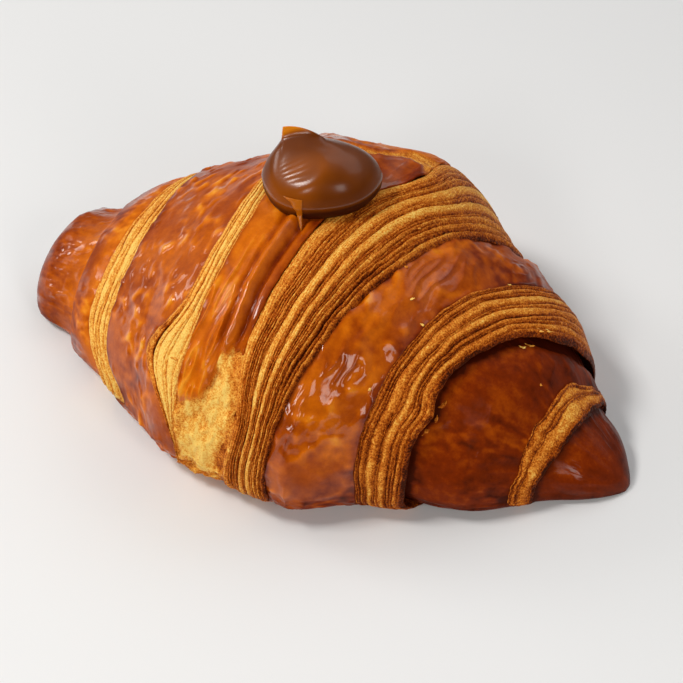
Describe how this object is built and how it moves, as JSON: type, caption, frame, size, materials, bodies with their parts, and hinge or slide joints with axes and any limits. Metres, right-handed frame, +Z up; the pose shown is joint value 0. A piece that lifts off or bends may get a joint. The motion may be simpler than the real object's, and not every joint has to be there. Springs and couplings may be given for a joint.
{
  "type": "croissant",
  "caption": "Baked rolled-dough pastry with glossy turns, cut edges of thin leaves between them, and a dollop of caramel on the crown.",
  "frame": {"origin": "on the floor below the middle of the whole", "axes": "+X along the length from the broad blunt end to the slim tip, +Y to the back, +Z up"},
  "size_m": [0.1592, 0.1048, 0.0664],
  "materials": {
    "baked_crust": "egg-washed glossy brown crust with pale yellow to brown leaves at the cut edges",
    "caramel": "smooth wet gloss, brown, amber where thin"
  },
  "bodies": {
    "root": {"croissant": "baked_crust", "caramel_dollop": "caramel"}
  },
  "joints": []
}
